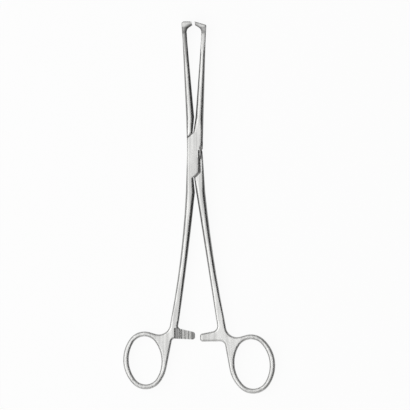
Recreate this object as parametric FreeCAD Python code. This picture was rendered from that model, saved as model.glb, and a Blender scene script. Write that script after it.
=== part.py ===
import FreeCAD, Part
import math
import os

from FreeCAD import Vector

# Allis tissue forceps, 20 cm, millimetres and degrees.
# X is to the right, +Y towards the jaws, +Z up out of the instrument's flat side.
# The pivot axis is the Z axis, and z = 0 is the underside of the box lock.
# Both halves are drawn with the jaws just closed, then turned to the rest opening.
# The box half has the right jaw and the left handle, the tongue half the other two.

# Opening at rest, between the two halves
rest_opening = 1.2

# Box lock
box_thickness = 5.6
box_half_width = 4.15
box_rounding = 0.45
plate_edge = 2.4
plate_bevel_width = 0.75
plate_bevel_depth = 0.3
parting_x = -0.85
upper_shoulder_y = 11.0
lower_shoulder_y = -13.15
shoulder_angle = 43.0
shoulder_gap = 0.35
parting_gap = 0.12
relief_low_y = 1.6
relief_high_y = 5.9
upper_wall_y = 1.9
lower_wall_y = -3.0

# Tongue that turns inside the box
waist_radius = 4.1
tongue_thickness = 2.1
lock_clearance = 0.05
rim_bevel_width = 1.2
rim_bevel_depth = 0.4
strip_start_y = -1.2
strip_end_y = -3.5
strip_runout = 2.5

# Riveted pin, its ends countersunk and ground flush
pin_radius = 1.25
pin_head_radius = 1.65
pin_head_depth = 0.5
pin_clearance = 0.04

# Shanks of the jaws
crotch_y = 19.0
jaw_root_width = 4.3
jaw_neck_width = 2.45
jaw_neck_depth = 2.9
right_jaw_root = 2.6
right_jaw_neck = 4.85
left_jaw_root = 2.0
left_jaw_neck = 3.7
shank_rounding = 1.2
jaw_rounding = 1.9
jaw_end_rounding = 1.2
neck_rounding = 0.1
neck_fade = 7.0

# Hooked tips and the serrated bite, lengthwise places measured down from its top
bite_x = 0.12
bite_top_y = 70.7
bite_height = 2.1
bite_lean = 10.0
neck_drop = 10.7
right_crown_drop = 1.95
left_crown_drop = -0.15
right_crown_rounding = 0.8
left_crown_rounding = 1.4
hook_rise = 32.0
hook_rounding = 3.0
jaw_width = 8.0
fan_length = 6.4
fan_lip = 2.9
serration_rows = 4
serration_columns = 11
serration_depth = 0.2

# Handle shanks, with the gentle bow towards the centre line
handle_crotch_y = -21.0
handle_end_y = -90.0
handle_root = 2.55
handle_spread = 11.3
left_handle_bow = 0.8
right_handle_bow = 0.4
handle_root_width = 4.85
handle_end_width = 4.45
handle_dip = 0.85
handle_depth = 4.0
handle_rounding = 1.8
handle_end_rounding = 1.0
root_rounding = 1.2
handle_sections = 7

# Finger rings, their places measured out and down from the end of the handle's centre line
ring_side_band = 3.0
ring_end_band = 2.65
ring_rounding = 1.15
edge_steps = 3
left_ring_out = 16.1
left_ring_drop = 21.2
left_ring_half_width = 8.8
left_ring_half_length = 12.9
left_ring_end_radius = 7.0
left_ring_lean = 3.0
left_saddle_drop = 9.0
right_ring_out = 16.35
right_ring_drop = 24.1
right_ring_half_width = 9.4
right_ring_half_length = 13.3
right_ring_end_radius = 7.6
right_ring_lean = -4.4
right_saddle_drop = 10.9
saddle_rounding = 6.0

# Ratchet bars, their places measured in the same way, and their teeth
left_bar_tip = 0.52
left_tip_top_drop = 6.3
left_tip_bottom_drop = 10.2
left_bar_crown_drop = 4.0
left_heel_out = 1.45
left_heel_drop = 9.5
right_bar_tip = 0.1
right_tip_top_drop = 7.2
right_tip_bottom_drop = 11.35
right_bar_crown_drop = 5.5
right_heel_out = 1.8
right_heel_drop = 11.5
bar_tip_rounding = 1.4
left_crown_fillet = 1.6
right_crown_fillet = 3.0
left_heel_fillet = 1.9
right_heel_fillet = 2.8
ratchet_wall_out = 0.2
ratchet_teeth = 4
ratchet_pitch = 1.85
ratchet_first_tooth = 2.0
ratchet_root = 0.45
ratchet_tooth_height = 0.55

# Worked out from the sizes above
mid_z = box_thickness / 2
beyond = 4 * box_half_width


def turned(angle):
    """Unit vector at an angle from +X."""
    return Vector(math.cos(math.radians(angle)), math.sin(math.radians(angle)), 0)


def square_to(direction):
    """The direction turned a quarter to the left."""
    return Vector(-direction.y, direction.x, 0)


def cross_at_y(point, direction, y):
    """Where a line through a point reaches a height y."""
    return point + direction * ((y - point.y) / direction.y)


def meeting(point_a, along_a, point_b, along_b):
    """Where two lines in the XY plane meet."""
    across_b = square_to(along_b)
    reach = (point_b - point_a).dot(across_b) / along_a.dot(across_b)
    return point_a + along_a * reach


def rounded_path(corners, closed=True):
    """Edges through corners given as (point, radius), with each corner rounded."""
    count = len(corners)
    starts, ends, arcs = [], [], []
    for index, (point, radius) in enumerate(corners):
        is_end = not closed and index in (0, count - 1)
        if is_end or radius == 0:
            starts.append(point)
            ends.append(point)
            arcs.append(None)
            continue
        back = (corners[index - 1][0] - point).normalize()
        ahead = (corners[(index + 1) % count][0] - point).normalize()
        half = back.getAngle(ahead) / 2
        starts.append(point + back * (radius / math.tan(half)))
        ends.append(point + ahead * (radius / math.tan(half)))
        middle = point + (back + ahead).normalize() * (radius / math.sin(half) - radius)
        arcs.append(Part.Arc(starts[-1], middle, ends[-1]).toShape())
    edges = []
    for index in range(count):
        if arcs[index]:
            edges.append(arcs[index])
        following = (index + 1) % count
        if following or closed:
            edges.append(Part.LineSegment(ends[index], starts[following]).toShape())
    return edges


def raised(edges, low, high):
    """Upright solid on a closed outline between two heights."""
    solid = Part.Face(Part.Wire(edges)).extrude(Vector(0, 0, high - low))
    solid.translate(Vector(0, 0, low))
    return solid


def prism(corners, low, high):
    """Upright solid on an outline of rounded corners."""
    return raised(rounded_path(corners), low, high)


def plain(points):
    """Corners of a sharp outline."""
    return [(Vector(x, y, 0), 0) for x, y in points]


def section(center, heading, width, depth, rounding):
    """Rounded rectangle across a limb, square to the way the limb runs."""
    flat = [
        (Vector(x * width / 2, y * depth / 2, 0), rounding)
        for x, y in ((-1, -1), (1, -1), (1, 1), (-1, 1))
    ]
    wire = Part.Wire(rounded_path(flat))
    across = square_to(heading) * -1
    up = Vector(0, 0, 1)
    origin = center + up * mid_z
    wire.Placement = FreeCAD.Placement(origin, FreeCAD.Rotation(across, up, heading, "XYZ"))
    return wire


def limb(stations):
    """Shank through its sections, straight from each to the next."""
    return Part.makeLoft([section(*station) for station in stations], True, True)


def root_station(side, y, inner, outer, rounding, heading):
    """Full-thickness section square to Y between two distances from the centre line."""
    center = Vector(side * (inner + outer) / 2, y, 0)
    return center, heading, outer - inner, box_thickness, rounding


def shoulder_y(start_y, x, gap=0.0):
    """Height of a shoulder line at x, moved away from the pivot by a gap."""
    slope = math.radians(shoulder_angle)
    away = math.copysign(gap / math.cos(slope), start_y)
    return start_y + (x - parting_x) * math.tan(slope) + away


def lock_window(gap):
    """Outline of the box plates with all sides moved out by a gap."""
    right = plate_edge + gap
    return plain([
        (-beyond, shoulder_y(upper_shoulder_y, -beyond, gap)),
        (right, shoulder_y(upper_shoulder_y, right, gap)),
        (right, shoulder_y(lower_shoulder_y, right, gap)),
        (-beyond, shoulder_y(lower_shoulder_y, -beyond, gap)),
    ])


def touch(point, center, radius, turn):
    """Where a line from a point touches a circle, on the side that turn picks."""
    offset = point - center
    angle = math.atan2(offset.y, offset.x) + turn * math.acos(radius / offset.Length)
    return center + turned(math.degrees(angle)) * radius


def part_corners(clearance):
    """Inner corners of the slot's two walls, where the halves part."""
    upper = Vector(parting_x + clearance, upper_shoulder_y, 0)
    lower = Vector(parting_x - clearance, lower_shoulder_y, 0)
    return upper, lower


def side_bevels(edge_x, half, width, depth):
    """Cutters that slope both faces of a plate down towards its edge on the right."""
    fall = depth / width * beyond
    cutters = []
    for hand in (1, -1):
        corners = [
            Vector(edge_x - width, -beyond, mid_z + hand * half),
            Vector(edge_x - width + beyond, -beyond, mid_z + hand * (half - fall)),
            Vector(edge_x - width + beyond, -beyond, mid_z + hand * (half + beyond)),
            Vector(edge_x - width, -beyond, mid_z + hand * (half + beyond)),
        ]
        face = Part.Face(Part.makePolygon(corners + corners[:1]))
        cutters.append(face.extrude(Vector(0, 2 * beyond, 0)))
    return cutters


def tongue():
    """Thin middle of the tongue half, round at the waist so that it can turn."""
    upper, lower = part_corners(-lock_clearance)
    touch_upper = touch(upper, Vector(0, 0, 0), waist_radius, -1)
    touch_lower = touch(lower, Vector(0, 0, 0), waist_radius, -1)
    left = Vector(-waist_radius, 0, 0)
    right = Vector(waist_radius, 0, 0)
    root = 2 * shoulder_gap + waist_radius / 4
    left_end = Vector(-waist_radius, shoulder_y(upper_shoulder_y, -waist_radius, root), 0)
    right_end = Vector(waist_radius, shoulder_y(lower_shoulder_y, waist_radius, root), 0)
    upper_end = upper + Vector(-root / 2, root, 0)
    lower_end = lower + Vector(root / 2, -root, 0)
    edges = [
        Part.LineSegment(right, right_end),
        Part.LineSegment(right_end, lower_end),
        Part.LineSegment(lower_end, lower),
        Part.LineSegment(lower, touch_lower),
        Part.Arc(touch_lower, (touch_lower + left).normalize() * waist_radius, left),
        Part.LineSegment(left, left_end),
        Part.LineSegment(left_end, upper_end),
        Part.LineSegment(upper_end, upper),
        Part.LineSegment(upper, touch_upper),
        Part.Arc(touch_upper, (touch_upper + right).normalize() * waist_radius, right),
    ]
    half = tongue_thickness / 2
    solid = raised([edge.toShape() for edge in edges], mid_z - half, mid_z + half)
    edge_x = waist_radius + lock_clearance
    return solid.cut(side_bevels(edge_x, half, rim_bevel_width, rim_bevel_depth))


def lock_slot():
    """Room for the tongue through the box, open at both sides."""
    upper, lower = part_corners(lock_clearance)
    radius = waist_radius + lock_clearance
    along_upper = upper - touch(upper, Vector(0, 0, 0), radius, -1)
    along_lower = lower - touch(lower, Vector(0, 0, 0), radius, -1)
    upper_wall = cross_at_y(upper, along_upper, upper_wall_y)
    lower_wall = cross_at_y(lower, along_lower, lower_wall_y)
    outline = plain([
        (upper_wall.x, upper_wall_y),
        (beyond, upper_wall_y),
        (beyond, lower.y),
        (lower.x, lower.y),
        (lower_wall.x, lower_wall_y),
        (-beyond, lower_wall_y),
        (-beyond, upper.y),
        (upper.x, upper.y),
    ])
    half = tongue_thickness / 2 + lock_clearance
    return prism(outline, mid_z - half, mid_z + half)


def pin_shape(clearance=0.0):
    """Pin with countersunk ends, turned about the pivot axis."""
    shaft = pin_radius + clearance
    head = pin_head_radius + clearance
    profile = [
        Vector(0, 0, 0),
        Vector(head, 0, 0),
        Vector(shaft, 0, pin_head_depth),
        Vector(shaft, 0, box_thickness - pin_head_depth),
        Vector(head, 0, box_thickness),
        Vector(0, 0, box_thickness),
    ]
    face = Part.Face(Part.makePolygon(profile + profile[:1]))
    return face.revolve(Vector(0, 0, 0), Vector(0, 0, 1), 360)


def hook_outline(side, neck, heading, crown_y, crown_rounding):
    """Side outline of a jaw's hooked end, from the neck to the bite."""
    across = square_to(heading) * -side
    outer = neck + across * (jaw_neck_width / 2)
    inner = neck - across * (jaw_neck_width / 2)
    bite_along = turned(-90 + bite_lean)
    top = Vector(bite_x, bite_top_y, 0)
    bottom = top + bite_along * bite_height
    under = turned(-side * hook_rise)
    throat = meeting(inner, heading, bottom, under)
    crown = cross_at_y(outer, heading, crown_y)
    return [
        (inner, 0),
        (throat, hook_rounding),
        (bottom, 0),
        (top, 0),
        (crown, crown_rounding),
        (outer, 0),
    ]


def fan_outline(top_y):
    """Half-turned outline of a jaw's end seen from the bite, in Y and Z."""
    flare = jaw_width / 2 - jaw_neck_depth / 2
    half_turn = math.atan2(flare, fan_length)
    radius = fan_length / math.sin(2 * half_turn)
    start_y = top_y - fan_lip - fan_length
    lip_y = top_y - fan_lip
    edges = []
    for hand in (1, -1):
        z_neck = mid_z + hand * jaw_neck_depth / 2
        z_lip = mid_z + hand * jaw_width / 2
        middle = Vector(
            0,
            start_y + radius * math.sin(half_turn),
            z_neck + hand * radius * (1 - math.cos(half_turn)),
        )
        path = [
            Part.LineSegment(Vector(0, crotch_y, z_neck), Vector(0, start_y, z_neck)),
            Part.Arc(Vector(0, start_y, z_neck), middle, Vector(0, lip_y, z_lip)),
            Part.LineSegment(Vector(0, lip_y, z_lip), Vector(0, top_y + jaw_width, z_lip)),
        ]
        edges += [curve.toShape() for curve in path]
    ends = [(crotch_y, jaw_neck_depth / 2), (top_y + jaw_width, jaw_width / 2)]
    for y, half in ends:
        line = Part.LineSegment(Vector(0, y, mid_z - half), Vector(0, y, mid_z + half))
        edges.append(line.toShape())
    return Part.Wire(Part.sortEdges(edges)[0])


def v_groove(start, run, opening, depth):
    """Cutter with a square V section along a run, opening towards a unit vector."""
    sideways = run.cross(opening).normalize() * depth
    lift = opening * depth
    corners = [start - lift, start + sideways * 2 + lift, start - sideways * 2 + lift]
    face = Part.Face(Part.makePolygon(corners + corners[:1]))
    return face.extrude(run)


def serrations(side):
    """Crossed grooves on the bite face of one jaw."""
    down = turned(-90 + bite_lean)
    out_of_face = square_to(down) * side * -1
    top = Vector(bite_x, bite_top_y, mid_z)
    grooves = []
    for index in range(1, serration_rows):
        start = top + down * (bite_height * index / serration_rows)
        start -= Vector(0, 0, jaw_width)
        grooves.append(v_groove(start, Vector(0, 0, 2 * jaw_width), out_of_face, serration_depth))
    for index in range(1, serration_columns):
        z = jaw_width * (index / serration_columns - 0.5)
        start = top + Vector(0, 0, z) - down * bite_height
        grooves.append(v_groove(start, down * (3 * bite_height), out_of_face, serration_depth))
    return grooves


def jaw_end(side, neck, heading, crown_y, crown_rounding):
    """Hooked and fanned end of one jaw, crisp at its edges, with its serrated bite."""
    outline = hook_outline(side, neck, heading, crown_y, crown_rounding)
    hook = prism(outline, mid_z - jaw_width, mid_z + jaw_width)
    fan = Part.Face(fan_outline(max(bite_top_y, crown_y))).extrude(Vector(2 * beyond, 0, 0))
    fan.translate(Vector(-beyond, 0, 0))
    return hook.common(fan).cut(serrations(side))


def jaw(side, root, neck_distance, start_y, inner, crown_drop, crown_rounding):
    """One jaw in the closed place: its shank from the box and its hooked end."""
    crotch = Vector(side * root, crotch_y, 0)
    neck = Vector(side * neck_distance, bite_top_y - neck_drop, 0)
    heading = (neck - crotch).normalize()
    edge_slope = (root + jaw_root_width / 2 - box_half_width) / crotch_y
    stations = []
    for y in (start_y, upper_shoulder_y):
        outer = box_half_width + edge_slope * y
        stations.append(root_station(side, y, inner, outer, shank_rounding, Vector(0, 1, 0)))
    fade = 1 - neck_fade / (neck - crotch).Length
    for share, rounding in ((0, jaw_rounding), (fade, jaw_end_rounding), (1, neck_rounding)):
        stations.append((
            crotch + (neck - crotch) * share,
            heading,
            jaw_root_width + (jaw_neck_width - jaw_root_width) * share,
            box_thickness + (jaw_neck_depth - box_thickness) * share,
            rounding,
        ))
    end = jaw_end(side, neck, heading, bite_top_y - crown_drop, crown_rounding)
    return limb(stations).fuse(end)


def handle_center(side, bow, share):
    """Point of a handle's curved centre line, from its crotch to its end."""
    distance = handle_root + (handle_spread - handle_root) * share - 4 * bow * share * (1 - share)
    return Vector(side * distance, handle_crotch_y + (handle_end_y - handle_crotch_y) * share, 0)


def handle_heading(side, bow, share):
    """Way the centre line runs there, away from the jaws."""
    slope = handle_spread - handle_root - 4 * bow * (1 - 2 * share)
    return Vector(side * slope, handle_end_y - handle_crotch_y, 0).normalize()


def handle_shank(side, bow, start_y, inner):
    """Shank from the box to the ring plate, narrowest past its middle."""
    down = Vector(0, -1, 0)
    edge_slope = (handle_root + handle_root_width / 2 - box_half_width) / handle_crotch_y
    roots = []
    for y, rounding in (
        (start_y, box_rounding),
        (min(start_y, 0) + strip_start_y, box_rounding),
        (lower_shoulder_y, root_rounding),
    ):
        outer = box_half_width + edge_slope * min(y, 0)
        roots.append(root_station(side, y, inner, outer, rounding, down))
    stations = []
    for index in range(handle_sections):
        share = index / (handle_sections - 1)
        width = handle_root_width + (handle_end_width - handle_root_width) * share
        stations.append((
            handle_center(side, bow, share),
            handle_heading(side, bow, share),
            width - 4 * handle_dip * share * (1 - share),
            box_thickness + (handle_depth - box_thickness) * share,
            handle_rounding + (handle_end_rounding - handle_rounding) * share ** 3,
        ))
    return limb(roots + stations)


def oval(side, place, lean, half_width, half_length, end_radius):
    """Centres of an oval's top and bottom arcs, then of its far and near arcs, with radii."""
    long_axis = turned(90 - side * lean)
    far_axis = square_to(long_axis) * -side
    reach = half_length - end_radius
    side_radius = reach ** 2 + half_width ** 2 - end_radius ** 2
    side_radius /= 2 * (half_width - end_radius)
    inset = side_radius - half_width
    ends = (place + long_axis * reach, place - long_axis * reach)
    sides = (place - far_axis * inset, place + far_axis * inset)
    return ends, end_radius, sides, side_radius


def arc_about(center, radius, start, end):
    """Arc of less than half a turn between two points of a circle."""
    middle = center + (start + end - center * 2).normalize() * radius
    return Part.Arc(start, middle, end).toShape()


def seam(end, side, end_radius):
    """Point where an end arc of an oval meets a side arc."""
    return end + (end - side).normalize() * end_radius


def round_oval(shape, start, finish):
    """Edges from a point on an oval's top arc, round its far side, to one on its near arc."""
    (top, bottom), end_radius, (far, near), side_radius = shape
    upper = seam(top, far, end_radius)
    lower = seam(bottom, far, end_radius)
    last = seam(bottom, near, end_radius)
    return [
        arc_about(top, end_radius, start, upper),
        arc_about(far, side_radius, upper, lower),
        arc_about(bottom, end_radius, lower, last),
        arc_about(near, side_radius, last, finish),
    ]


def ring_plate(side, bow, ring, bar, fillets):
    """Finger ring, web and full-thickness ratchet bar as one rounded plate."""
    ring_out, ring_drop, half_width, half_length, end_radius, lean, saddle_drop = ring
    tip, tip_top_drop, tip_bottom_drop, crown_drop, heel_out, heel_drop = bar
    crown_fillet, heel_fillet = fillets
    end = handle_center(side, bow, 1)
    heading = handle_heading(side, bow, 1)
    across = square_to(heading) * side
    outer = end + across * (handle_end_width / 2)
    inner = end - across * (handle_end_width / 2)
    place = end + Vector(side * ring_out, -ring_drop, 0)
    rim = oval(
        side, place, lean,
        half_width + ring_side_band, half_length + ring_end_band, end_radius + ring_end_band,
    )
    saddle = cross_at_y(outer, heading, end.y - saddle_drop)
    heel = end + Vector(side * heel_out, -heel_drop, 0)
    tip_top = Vector(side * tip, end.y - tip_top_drop, 0)
    tip_bottom = Vector(side * tip, end.y - tip_bottom_drop, 0)
    crown = cross_at_y(inner, heading, end.y - crown_drop)
    corners = [
        (touch(heel, rim[2][1], rim[3], side), 0, 0),
        (heel, heel_fillet, 1),
        (tip_bottom, bar_tip_rounding, -1),
        (tip_top, bar_tip_rounding, -1),
        (crown, crown_fillet, 1),
        (inner, 0, 0),
        (outer, 0, 0),
        (saddle, saddle_rounding, 1),
        (touch(saddle, rim[0][0], rim[1], -side), 0, 0),
    ]
    outside, opening = [], []
    for inset, height in edge_levels():
        shape = oval(
            side, place, lean,
            half_width + ring_side_band - inset,
            half_length + ring_end_band - inset,
            end_radius + ring_end_band - inset,
        )
        outside.append(at_height(plate_outline(side, corners, shape, inset), height))
        shape = oval(
            side, place, lean, half_width + inset, half_length + inset, end_radius + inset,
        )
        start = seam(shape[0][0], shape[2][1], shape[1])
        opening.append(at_height(round_oval(shape, start, start), height))
    return Part.makeLoft(outside, True, True).cut(Part.makeLoft(opening, True, True))


def plate_outline(side, corners, rim, inset):
    """Outline of the ring plate moved inwards, apart from its end between the sharp corners."""
    lines = []
    for (start, near_radius, _), (end, far_radius, _) in zip(corners, corners[1:]):
        along = (end - start).normalize()
        shift = inset if near_radius or far_radius else 0
        lines.append((start - square_to(along) * (side * shift), along))
    path = [(lines[0][0], 0)]
    for index, (_, radius, hollow) in enumerate(corners[1:-1]):
        path.append((meeting(*lines[index], *lines[index + 1]), radius + hollow * inset))
    path.append((corners[-1][0] - square_to(lines[-1][1]) * (side * inset), 0))
    return rounded_path(path, closed=False) + round_oval(rim, path[-1][0], path[0][0])


def edge_levels():
    """Steps from the plate's lower face to its upper one that round its edges off."""
    rounding = plate_rounding()
    levels = []
    for step in range(edge_steps + 1):
        angle = math.radians(90 * step / edge_steps)
        height = handle_depth / 2 - rounding * (1 - math.cos(angle))
        levels.append((rounding * (1 - math.sin(angle)), height))
    return [(inset, -height) for inset, height in levels] + levels[::-1]


def at_height(edges, height):
    """Wire through edges, lifted from the XY plane to a height from the middle."""
    wire = Part.Wire(edges)
    wire.translate(Vector(0, 0, mid_z + height))
    return wire


def plate_rounding():
    """Rounding of the plate's edges, kept within half of its narrowest band."""
    return min(ring_rounding, 0.45 * min(ring_side_band, ring_end_band))


def ratchet_room(side, crown_y):
    """Cutter that halves the bar's thickness and leaves saw teeth on it."""
    up = -side
    root_z = mid_z - up * ratchet_root
    tooth_z = root_z + up * ratchet_tooth_height
    far_z = mid_z + up * box_thickness
    saw = [Vector(-side * ratchet_pitch, 0, far_z), Vector(-side * ratchet_pitch, 0, root_z)]
    for index in range(ratchet_teeth):
        start = ratchet_first_tooth + index * ratchet_pitch
        saw.append(Vector(side * start, 0, root_z))
        saw.append(Vector(side * (start + ratchet_pitch), 0, tooth_z))
    last = ratchet_first_tooth + ratchet_teeth * ratchet_pitch
    wall_x = handle_spread + ratchet_wall_out
    saw.append(Vector(side * last, 0, root_z))
    saw.append(Vector(side * wall_x, 0, root_z))
    saw.append(Vector(side * wall_x, 0, far_z))
    face = Part.Face(Part.makePolygon(saw + saw[:1]))
    room = face.extrude(Vector(0, -beyond, 0))
    room.translate(Vector(0, crown_y, 0))
    return room


def handle(side, bow, start_y, inner, ring, bar, fillets):
    """One handle in the closed place: shank, ring and ratchet bar."""
    crown_drop = bar[3]
    plate = ring_plate(side, bow, ring, bar, fillets)
    shank = handle_shank(side, bow, start_y, inner)
    return shank.fuse(plate).cut(ratchet_room(side, handle_end_y - crown_drop))


def box_plate():
    """Full-thickness middle of the box between its shoulders."""
    left = -box_half_width + shank_rounding
    outline = plain([
        (left, shoulder_y(upper_shoulder_y, left)),
        (parting_x, upper_shoulder_y),
        (plate_edge, upper_shoulder_y),
        (plate_edge, shoulder_y(lower_shoulder_y, plate_edge)),
        (parting_x, lower_shoulder_y),
        (left, lower_shoulder_y),
    ])
    return prism(outline, 0, box_thickness)


def box_relief():
    """Slanted step at the jaw side of the box, cut from both faces to the slot."""
    slope = (relief_high_y - relief_low_y) / (box_half_width - plate_edge)
    outline = plain([
        (plate_edge, relief_low_y),
        (plate_edge + beyond, relief_low_y + slope * beyond),
        (plate_edge + beyond, relief_low_y - beyond),
        (plate_edge, relief_low_y - beyond),
    ])
    half = tongue_thickness / 2 + lock_clearance
    upper = prism(outline, mid_z + half, mid_z + beyond)
    lower = prism(outline, mid_z - beyond, mid_z - half)
    return [upper, lower]


def build_box_half():
    """Right jaw, box with its slot, and left handle."""
    right_jaw = jaw(
        1, right_jaw_root, right_jaw_neck, relief_low_y, parting_x + parting_gap / 2,
        right_crown_drop, right_crown_rounding,
    )
    left_handle = handle(
        -1, left_handle_bow, upper_shoulder_y, -parting_x + parting_gap / 2,
        (left_ring_out, left_ring_drop, left_ring_half_width, left_ring_half_length,
         left_ring_end_radius, left_ring_lean, left_saddle_drop),
        (left_bar_tip, left_tip_top_drop, left_tip_bottom_drop, left_bar_crown_drop,
         left_heel_out, left_heel_drop),
        (left_crown_fillet, left_heel_fillet),
    )
    above_shoulder = prism(plain([
        (-beyond, shoulder_y(upper_shoulder_y, -beyond)),
        (parting_x, upper_shoulder_y),
        (parting_x, upper_shoulder_y + beyond),
        (-beyond, upper_shoulder_y + beyond),
    ]), -beyond, beyond)
    left_handle = left_handle.cut(above_shoulder)
    bevels = side_bevels(plate_edge, mid_z, plate_bevel_width, plate_bevel_depth)
    body = right_jaw.fuse([left_handle, box_plate().cut(bevels)])
    body = body.cut([lock_slot(), pin_shape()] + box_relief())
    return body.removeSplitter()


def strip_runout_cutters():
    """Slopes that run the tongue half's side strip out to the tongue's faces."""
    half = tongue_thickness / 2
    low = mid_z + half
    high = mid_z + box_thickness / 2
    cutters = []
    for flip in (1, -1):
        corners = [
            Vector(0, strip_end_y, high),
            Vector(0, strip_end_y + strip_runout, low),
            Vector(0, beyond, low),
            Vector(0, beyond, high + beyond),
            Vector(0, strip_end_y, high + beyond),
        ]
        corners = [Vector(p.x, p.y, mid_z + flip * (p.z - mid_z)) for p in corners]
        face = Part.Face(Part.makePolygon(corners + corners[:1]))
        cutters.append(face.extrude(Vector(beyond, 0, 0)))
    return cutters


def build_tongue_half():
    """Left jaw, thin tongue through the box, and right handle."""
    left_jaw = jaw(
        -1, left_jaw_root, left_jaw_neck, upper_shoulder_y / 2, -parting_x + parting_gap / 2,
        left_crown_drop, left_crown_rounding,
    )
    right_handle = handle(
        1, right_handle_bow, strip_start_y, parting_x + parting_gap / 2,
        (right_ring_out, right_ring_drop, right_ring_half_width, right_ring_half_length,
         right_ring_end_radius, right_ring_lean, right_saddle_drop),
        (right_bar_tip, right_tip_top_drop, right_tip_bottom_drop, right_bar_crown_drop,
         right_heel_out, right_heel_drop),
        (right_crown_fillet, right_heel_fillet),
    )
    right_handle = right_handle.cut(strip_runout_cutters())
    window = prism(lock_window(shoulder_gap), -beyond, beyond)
    limbs = left_jaw.fuse(right_handle).cut(window)
    body = limbs.fuse(tongue())
    bore = Part.makeCylinder(pin_radius + pin_clearance, box_thickness)
    return body.cut(bore).removeSplitter()


def save(name, shape, angle=0.0):
    """Turn a piece about the pivot and write it as its own file."""
    shape.rotate(Vector(0, 0, 0), Vector(0, 0, 1), angle)
    solids = shape.Solids
    print(name, "solids", len(solids), "valid", shape.isValid(), "volume", round(shape.Volume, 1))
    solids[0].exportStep(os.path.join("parts", name + ".step"))


os.makedirs("parts", exist_ok=True)
save("box_half", build_box_half(), -rest_opening / 2)
save("tongue_half", build_tongue_half(), rest_opening / 2)
save("lock_pin", pin_shape(), -rest_opening / 2)
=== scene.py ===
from functools import reduce
import math

import bpy
from mathutils import Matrix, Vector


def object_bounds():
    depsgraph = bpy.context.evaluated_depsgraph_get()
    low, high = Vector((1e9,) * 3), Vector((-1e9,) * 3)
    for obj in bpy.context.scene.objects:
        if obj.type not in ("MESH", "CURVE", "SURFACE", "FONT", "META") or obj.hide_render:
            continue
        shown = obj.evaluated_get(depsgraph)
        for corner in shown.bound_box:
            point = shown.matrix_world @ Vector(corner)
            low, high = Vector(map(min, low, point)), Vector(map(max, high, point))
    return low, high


# Allis tissue forceps in satin steel on a pale table, seen straight down. Metres and degrees.
# X runs across the instrument, Y along it from the finger rings to the jaws, and Z upwards.
# A ramp is written as its first and last value and the two places between which it changes.

# Camera: the width it sees, the point it looks at, the lean of the instrument in the picture, and
# the camera's height and clip distances
VIEW_WIDTH = 0.22017
VIEW_CENTER = (0.004956, -0.028006)
VIEW_LEAN = 0.95
CAMERA_HEIGHT = 0.8
CAMERA_CLIP = (0.01, 20.0)

# Table: a block with its top just under the lowest points of the jaws. It glows white to the
# camera and in reflections, except for the share that the lamps light and the object shades.
FLOOR_GAP = 0.00005
FLOOR_SIZE = 4.0
FLOOR_DEPTH = 1.5
FLOOR_SHADE = 0.93
FLOOR_ROUGHNESS = 0.9
FLOOR_LIT_SHARE = 0.07

# Dim room, whose brightness depends on the direction: a ramp over X, from its left side to its
# right, and two ramps over Y, which add to it beyond the handles and beyond the jaws
ROOM_ACROSS = (0.3, 0.04, -0.7, 0.4)
ROOM_HANDLE_END = (0.9, 0.0, -0.9, -0.6)
ROOM_JAW_END = (0.0, 0.35, 0.5, 0.85)

# Lamps: name, place, width, length and watts. Both are level and face down. The softbox reaches
# from far on the left to just past the object, and the strip adds to it on the left.
LAMPS = (
    ("softbox", (-0.87, 0.0, 0.9), 2.26, 1.3, 10.4),
    ("strip", (-0.6, 0.0, 0.85), 0.6, 1.3, 1.3),
)

# Steel, where nothing below changes it
STEEL_SHADE = (0.62, 0.62, 0.61)
STEEL_ROUGHNESS = 0.27

# Noise patterns: their scales along X, Y and Z, and their detail. All but the grain are drawn out
# along the instrument.
STREAKS = ((2600.0, 90.0, 2600.0), 3.0)
GRAIN = ((9000.0, 9000.0, 9000.0), 2.0)
CLOUDS = ((120.0, 45.0, 120.0), 2.0)
BANDS = ((800.0, 30.0, 800.0), 1.0)
NOISE_ROUGHNESS = 0.6
# How far a piece's seed moves its patterns along X, Y and Z, and the span that most noise is in
SEED_STEPS = (1.0, 2.0, 3.0)
NOISE_SPAN = (0.3, 0.7)
# Shares of the shade and of the roughness at the two ends of that span
STREAK_TONE = (0.88, 1.06)
CLOUD_TONE = (0.87, 1.09)
BAND_TONE = (0.87, 1.12)
STREAK_ROUGHNESS = (0.85, 1.2)
GRAIN_ROUGHNESS = (0.92, 1.08)
# Relief of the brushing: its strength and depth, and the grain's part beside the streaks
BUMP_STRENGTH = 0.25
BUMP_DEPTH = 0.00003
BUMP_GRAIN = 0.5

# Worn edges, rounded in the shading: samples, radius on the rings and above them, what the lock
# and the jaws add to it, and the radius of edges that stay crisp
EDGE_SAMPLES = 6
HANDLE_EDGES = (0.0004, 0.0008, -0.112, -0.106)
JAW_EDGES = (0.0, 0.0006, -0.06, -0.015)
CRISP_EDGE = 0.00004

# Painted shade on the sides: faces sloping away from the top are painted darker than the flats, as
# shade: the upward part of the normal at which a face counts as a side and as a flat, and the share
# of the shade, from rings to lock
SHADED_SIDE_SLOPE = (0.68, 0.97)
SIDE_SHADE_SHARE = (0.75, 0.46, -0.095, -0.015)

# Finger rings, which are blasted for grip: what is added to the roughness, and share of the shade
RING_ROUGHNESS = (0.12, 0.0, -0.108, -0.095)
RING_SHARE = (1.07, 1.0, -0.108, -0.095)

# Painted shade in the hollow under the hooks, where the jaws' inner faces are painted dark as they
# lie in shade: the place of its center on Y, and the two distances from it between which the
# painted shade ends. Below the center only the distance on X counts, so the painted shade runs down
# the inner sides. For each jaw, the share of the shade and the two places on Y between which the
# painted shade starts.
HOLLOW_CENTER_Y = 0.0649
HOLLOW_REACH = (0.0041, 0.0056)
LEFT_HOLLOW_SHADE = (0.2, 0.046, 0.062)
RIGHT_HOLLOW_SHADE = (0.42, 0.062, 0.066)
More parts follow.
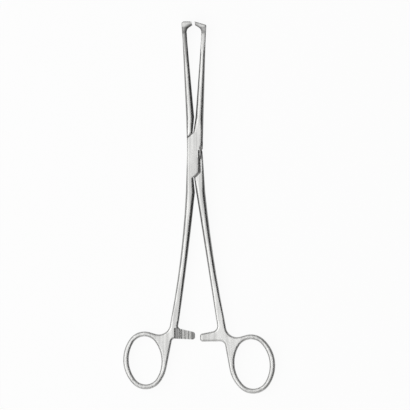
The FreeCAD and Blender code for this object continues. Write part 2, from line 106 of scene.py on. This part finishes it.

# Painted shade where shade falls, inside the lock's recess and at the roots of the ratchet teeth:
# the share of the shade, and the lowest and highest corners of a box
LOCK_INSIDE_SHADE = (0.8, (-0.009, -0.0142, 0.00165), (0.009, 0.0122, 0.00395))
LEFT_TOOTH_ROOT_SHADE = (0.42, (-0.0128, -0.1035, 0.0022), (0.001, -0.093, 0.0025))
RIGHT_TOOTH_ROOT_SHADE = (0.42, (-0.001, -0.1065, 0.0031), (0.0128, -0.096, 0.0034))

# Milled forms, with crisp edges, a rougher face and a painted lighter tone that stands in for light
# on the teeth: the bite's and the ratchets' teeth
MILLED_PAINTED_LIGHT = 1.6
MILLED_ROUGHNESS = 0.4
MILLED = (
    ((-0.0012, 0.064, -0.002), (0.0012, 0.072, 0.008)),
    ((-0.0094, -0.1035, 0.0022), (0.0, -0.093, 0.0034)),
    ((0.0, -0.1065, 0.0022), (0.0094, -0.096, 0.0034)),
)
# Riveted pin, ground flush with the box, and so with crisp edges too
GROUND_FLUSH = ((-0.0025, -0.0025, -0.001), (0.0025, 0.0025, 0.007))

# Pieces: node, name of its steel, seed of its patterns, its boxes of painted shade and the painted
# shade in its jaw's hollow. Each half has its jaw on one side of the instrument and its ratchet bar
# on the other.
PIECES = (
    ("box_half", "box_half_satin_steel", 0.0, (LEFT_TOOTH_ROOT_SHADE,), RIGHT_HOLLOW_SHADE),
    ("tongue_half", "tongue_half_satin_steel", 5.3, (LOCK_INSIDE_SHADE, RIGHT_TOOTH_ROOT_SHADE), LEFT_HOLLOW_SHADE),
    ("lock_pin", "pin_ground_steel", 9.1, (), None),
)


def link(tree, source, target):
    """Connect an output socket to an input socket."""
    tree.links.new(source, target)


def math_node(tree, operation, *values):
    """Math node on sockets or numbers."""
    node = tree.nodes.new("ShaderNodeMath")
    node.operation = operation
    for socket, value in zip(node.inputs, values):
        if isinstance(value, (int, float)):
            socket.default_value = value
        else:
            link(tree, value, socket)
    return node.outputs["Value"]


def fold(tree, operation, values):
    """Several sockets joined by one operation, from the first to the last."""
    return reduce(lambda first, second: math_node(tree, operation, first, second), values)


def split_axes(tree, vector):
    """Sockets X, Y and Z of a vector socket."""
    split = tree.nodes.new("ShaderNodeSeparateXYZ")
    link(tree, vector, split.inputs["Vector"])
    return split.outputs


def pattern_noise(tree, place, pattern, shift):
    """Noise over a piece's own coordinates, scaled for each axis and shifted."""
    scale, detail = pattern
    mapping = tree.nodes.new("ShaderNodeMapping")
    mapping.inputs["Scale"].default_value = scale
    mapping.inputs["Location"].default_value = shift
    link(tree, place, mapping.inputs["Vector"])
    noise = tree.nodes.new("ShaderNodeTexNoise")
    noise.inputs["Scale"].default_value = 1.0
    noise.inputs["Detail"].default_value = detail
    noise.inputs["Roughness"].default_value = NOISE_ROUGHNESS
    link(tree, mapping.outputs["Vector"], noise.inputs["Vector"])
    return noise.outputs["Fac"]


def ramp(tree, factor, first, last, start, end):
    """First value up to the start, last value from the end on, and an even change between them."""
    node = tree.nodes.new("ShaderNodeMapRange")
    node.inputs["From Min"].default_value = start
    node.inputs["From Max"].default_value = end
    node.inputs["To Min"].default_value = first
    node.inputs["To Max"].default_value = last
    link(tree, factor, node.inputs["Value"])
    return node.outputs["Result"]


def switch(tree, mask, outside, within):
    """One value where a mask is 0 and another where it is 1."""
    return ramp(tree, mask, outside, within, 0.0, 1.0)


def in_box(tree, axes, low, high):
    """1 inside a box and 0 outside it."""
    return fold(tree, "MULTIPLY", [
        math_node(tree, "COMPARE", axes[axis], (start + end) / 2, (end - start) / 2)
        for axis, start, end in zip("XYZ", low, high)])


def in_hollow(tree, axes, start, end):
    """1 in the hollow under the hooks, which sets in between two places on Y."""
    rise = math_node(tree, "SUBTRACT", axes["Y"], HOLLOW_CENTER_Y)
    rise = math_node(tree, "MAXIMUM", rise, 0.0)
    squares = [math_node(tree, "MULTIPLY", leg, leg) for leg in (axes["X"], rise)]
    reach = math_node(tree, "SQRT", fold(tree, "ADD", squares))
    return fold(tree, "MULTIPLY", [
        ramp(tree, reach, 1.0, 0.0, *HOLLOW_REACH), ramp(tree, axes["Y"], 0.0, 1.0, start, end)])


def worn_normal(tree, axes, milled):
    """Normal that is rounded at the edges, except on milled forms and around the pin."""
    worn = fold(tree, "ADD", [
        ramp(tree, axes["Y"], *wear) for wear in (HANDLE_EDGES, JAW_EDGES)])
    crisp = fold(tree, "MAXIMUM", [milled, in_box(tree, axes, *GROUND_FLUSH)])
    radius = fold(tree, "MULTIPLY", [worn, switch(tree, crisp, 1.0, 0.0)])
    edges = tree.nodes.new("ShaderNodeBevel")
    edges.samples = EDGE_SAMPLES
    link(tree, math_node(tree, "MAXIMUM", radius, CRISP_EDGE), edges.inputs["Radius"])
    return edges.outputs["Normal"]


def painted_side_shade(tree, y, normal):
    """Share of the shade by the slope of a face, a painted shade: 1 on flats and less on sides."""
    flatness = math_node(tree, "ABSOLUTE", split_axes(tree, normal)["Z"])
    steepness = ramp(tree, flatness, 1.0, 0.0, *SHADED_SIDE_SLOPE)
    loss = math_node(tree, "SUBTRACT", 1.0, ramp(tree, y, *SIDE_SHADE_SHARE))
    return math_node(tree, "SUBTRACT", 1.0, math_node(tree, "MULTIPLY", steepness, loss))


def brushed_normal(tree, streaks, grain, normal):
    """Normal with the fine relief of the brushing."""
    bump = tree.nodes.new("ShaderNodeBump")
    bump.inputs["Strength"].default_value = BUMP_STRENGTH
    bump.inputs["Distance"].default_value = BUMP_DEPTH
    height = math_node(tree, "ADD", math_node(tree, "MULTIPLY", grain, BUMP_GRAIN), streaks)
    link(tree, height, bump.inputs["Height"])
    link(tree, normal, bump.inputs["Normal"])
    return bump.outputs["Normal"]


def steel(name, seed, shade_boxes, jaw_hollow_shade):
    """Satin surgical steel, brushed lengthwise, with worn edges, painted shade on the sides, in
    recesses and under the hooks, and painted light on the milled teeth.
    """
    material = bpy.data.materials.new(name)
    material.use_nodes = True
    tree = material.node_tree
    shader = tree.nodes["Principled BSDF"]
    shader.inputs["Metallic"].default_value = 1.0

    place = tree.nodes.new("ShaderNodeTexCoord").outputs["Object"]
    axes = split_axes(tree, place)
    shift = [seed * step for step in SEED_STEPS]
    streaks, grain, clouds, bands = [
        pattern_noise(tree, place, pattern, shift) for pattern in (STREAKS, GRAIN, CLOUDS, BANDS)]
    milled = fold(tree, "MAXIMUM", [in_box(tree, axes, *box) for box in MILLED])
    normal = worn_normal(tree, axes, milled)

    tones = [
        ramp(tree, streaks, *STREAK_TONE, *NOISE_SPAN),
        ramp(tree, clouds, *CLOUD_TONE, *NOISE_SPAN),
        ramp(tree, bands, *BAND_TONE, *NOISE_SPAN),
        # painted shade: sides darker than the flats
        painted_side_shade(tree, axes["Y"], normal),
    ]
    # painted shade in the hollow under the hook
    if jaw_hollow_shade:
        share, start, end = jaw_hollow_shade
        tones.append(switch(tree, in_hollow(tree, axes, start, end), 1.0, share))
    # painted light: milled teeth lighter than the rest
    tones.append(switch(tree, milled, 1.0, MILLED_PAINTED_LIGHT))
    tones.append(ramp(tree, axes["Y"], *RING_SHARE))
    # painted shade in the lock's recess and at the ratchet teeth's roots
    for share, low, high in shade_boxes:
        tones.append(switch(tree, in_box(tree, axes, low, high), 1.0, share))
    color = tree.nodes.new("ShaderNodeVectorMath")
    color.operation = "SCALE"
    color.inputs[0].default_value = STEEL_SHADE
    link(tree, fold(tree, "MULTIPLY", tones), color.inputs["Scale"])
    link(tree, color.outputs["Vector"], shader.inputs["Base Color"])

    grain_span = [STEEL_ROUGHNESS * share for share in GRAIN_ROUGHNESS]
    brushed = fold(tree, "MULTIPLY", [
        ramp(tree, streaks, *STREAK_ROUGHNESS, *NOISE_SPAN),
        ramp(tree, grain, *grain_span, *NOISE_SPAN)])
    roughness = fold(tree, "ADD", [
        brushed, switch(tree, milled, 0.0, MILLED_ROUGHNESS),
        ramp(tree, axes["Y"], *RING_ROUGHNESS)])
    link(tree, roughness, shader.inputs["Roughness"])
    link(tree, brushed_normal(tree, streaks, grain, normal), shader.inputs["Normal"])
    return material


def dress(node, material):
    """Give a CAD piece its one material."""
    node.data.materials.clear()
    node.data.materials.append(material)


def make_floor(height):
    """Plain pale block that stays almost white in the picture and keeps a soft shadow."""
    mesh = bpy.data.meshes.new("table_top")
    half = FLOOR_SIZE / 2
    square = ((-half, -half), (half, -half), (half, half), (-half, half))
    corners = [(x, y, z) for z in (height, height - FLOOR_DEPTH) for x, y in square]
    walls = [(i, i + 4, (i + 1) % 4 + 4, (i + 1) % 4) for i in range(4)]
    mesh.from_pydata(corners, [], [(0, 1, 2, 3), (7, 6, 5, 4)] + walls)
    floor = bpy.data.objects.new("table_top", mesh)
    bpy.context.scene.collection.objects.link(floor)

    material = bpy.data.materials.new("pale_table")
    material.use_nodes = True
    tree = material.node_tree
    shader = tree.nodes["Principled BSDF"]
    shader.inputs["Base Color"].default_value = (FLOOR_SHADE, FLOOR_SHADE, FLOOR_SHADE, 1)
    shader.inputs["Roughness"].default_value = FLOOR_ROUGHNESS
    glow = tree.nodes.new("ShaderNodeEmission")
    glow.inputs["Color"].default_value = (1, 1, 1, 1)
    rays = tree.nodes.new("ShaderNodeLightPath").outputs
    seen = fold(tree, "MAXIMUM", [
        rays["Is Glossy Ray"], rays["Is Transmission Ray"], rays["Is Camera Ray"]])
    mix = tree.nodes.new("ShaderNodeMixShader")
    link(tree, math_node(tree, "MULTIPLY", seen, 1 - FLOOR_LIT_SHARE), mix.inputs["Fac"])
    link(tree, shader.outputs["BSDF"], mix.inputs[1])
    link(tree, glow.outputs["Emission"], mix.inputs[2])
    link(tree, mix.outputs["Shader"], tree.nodes["Material Output"].inputs["Surface"])
    mesh.materials.append(material)


def make_lights():
    """Dim room, brighter at its left and at its two ends, and the level lamps."""
    world = bpy.data.worlds.new("studio")
    bpy.context.scene.world = world
    world.use_nodes = True
    tree = world.node_tree
    background = tree.nodes["Background"]
    background.inputs["Color"].default_value = (1, 1, 1, 1)
    direction = split_axes(tree, tree.nodes.new("ShaderNodeTexCoord").outputs["Generated"])
    across = ramp(tree, direction["X"], *ROOM_ACROSS)
    ends = [ramp(tree, direction["Y"], *end) for end in (ROOM_HANDLE_END, ROOM_JAW_END)]
    strength = math_node(tree, "ADD", across, fold(tree, "ADD", ends))
    link(tree, strength, background.inputs["Strength"])
    for name, place, width, length, watts in LAMPS:
        lamp = bpy.data.lights.new(name, "AREA")
        lamp.shape = "RECTANGLE"
        lamp.size = width
        lamp.size_y = length
        lamp.energy = watts
        holder = bpy.data.objects.new(name, lamp)
        holder.location = place
        bpy.context.scene.collection.objects.link(holder)


def make_camera():
    """Level camera straight above, turned so that the instrument leans as in the picture."""
    camera = bpy.data.cameras.new("camera")
    camera.type = "ORTHO"
    camera.ortho_scale = VIEW_WIDTH
    camera.clip_start, camera.clip_end = CAMERA_CLIP
    holder = bpy.data.objects.new("camera", camera)
    holder.matrix_world = Matrix.Translation((*VIEW_CENTER, CAMERA_HEIGHT)) @ Matrix.Rotation(
        math.radians(-VIEW_LEAN), 4, "Z")
    bpy.context.scene.collection.objects.link(holder)
    bpy.context.scene.camera = holder


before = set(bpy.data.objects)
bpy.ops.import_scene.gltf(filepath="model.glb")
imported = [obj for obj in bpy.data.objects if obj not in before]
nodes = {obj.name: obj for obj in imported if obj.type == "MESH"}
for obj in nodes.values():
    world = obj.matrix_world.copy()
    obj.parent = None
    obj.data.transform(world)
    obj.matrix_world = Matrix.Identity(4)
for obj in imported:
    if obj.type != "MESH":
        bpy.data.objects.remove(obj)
cad_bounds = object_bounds()

for node, name, seed, shade_boxes, jaw_hollow_shade in PIECES:
    dress(nodes[node], steel(name, seed, shade_boxes, jaw_hollow_shade))

make_floor(cad_bounds[0][2] - FLOOR_GAP)
make_lights()
make_camera()
bpy.context.scene.view_settings.view_transform = "Standard"
